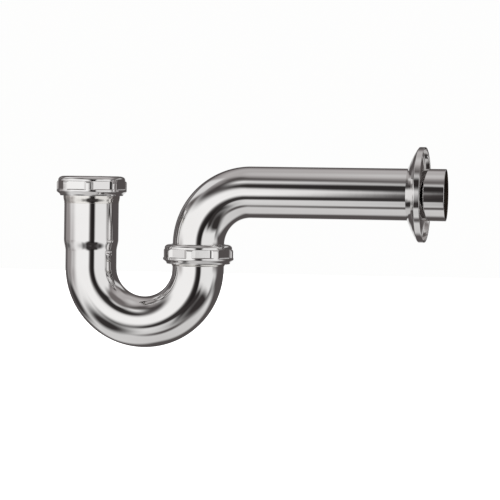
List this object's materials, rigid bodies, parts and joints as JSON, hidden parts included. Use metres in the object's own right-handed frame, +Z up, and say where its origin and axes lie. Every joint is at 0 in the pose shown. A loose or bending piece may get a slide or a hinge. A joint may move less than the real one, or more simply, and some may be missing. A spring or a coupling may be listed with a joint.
{
  "type": "p trap",
  "caption": "Chrome tubular-brass P-trap: J-bend with slip-nut inlet, union nut, wall bend tube and a shallow sliding wall flange.",
  "frame": {"origin": "centre of the wall tube's open end", "axes": "+X along the wall tube out of its open end, into the wall; +Z up; the J-bend hangs in the XZ plane"},
  "size_m": [0.2905, 0.0698, 0.1513],
  "materials": {
    "polished_chrome": "polished",
    "nut_chrome": "polished",
    "flange_chrome": "polished",
    "plated_ferrule": "polished",
    "black_rubber": "matte"
  },
  "bodies": {
    "wall_bend": {"wall_bend_tube": "polished_chrome"},
    "flange": {"wall_flange": "flange_chrome"},
    "union_joint": {"union_washer": "black_rubber"},
    "union_nut": {"union_slip_nut": "nut_chrome"},
    "j_bend": {"j_bend_tube": "polished_chrome", "inlet_ferrule": "plated_ferrule", "outlet_ferrule": "plated_ferrule"},
    "inlet_joint": {"inlet_slip_washer": "black_rubber"},
    "inlet_nut": {"inlet_slip_nut": "nut_chrome"}
  },
  "joints": [
    {"name": "flange_slide", "type": "slide", "parent": "wall_bend", "child": "flange", "axis": [1, 0, 0], "range_m": [-0.112, 0.012]},
    {"name": "union_swivel", "type": "hinge", "parent": "wall_bend", "child": "union_joint", "pos_m": [-0.183, 0, -0.0463], "axis": [0, 0, 1], "range_deg": [-125, 125]},
    {"name": "union_nut_turn", "type": "hinge", "parent": "union_joint", "child": "union_nut", "pos_m": [-0.183, 0, -0.0463], "axis": [0, 0, 1], "range_deg": [0, 1080]},
    {"name": "j_bend_drop", "type": "slide", "parent": "union_joint", "child": "j_bend", "axis": [0, 0, -1], "range_m": [0, 0.0067]},
    {"name": "inlet_nut_rise", "type": "slide", "parent": "j_bend", "child": "inlet_joint", "axis": [0, 0, 1], "range_m": [0, 0.0067]},
    {"name": "inlet_nut_turn", "type": "hinge", "parent": "inlet_joint", "child": "inlet_nut", "pos_m": [-0.2643, 0, 0], "axis": [0, 0, 1], "range_deg": [0, 1080]}
  ],
  "couplings": [
    {"joint": "j_bend_drop", "follows": "union_nut_turn", "m_per_rad": 0.00035152},
    {"joint": "inlet_nut_rise", "follows": "inlet_nut_turn", "m_per_rad": 0.00035152}
  ]
}
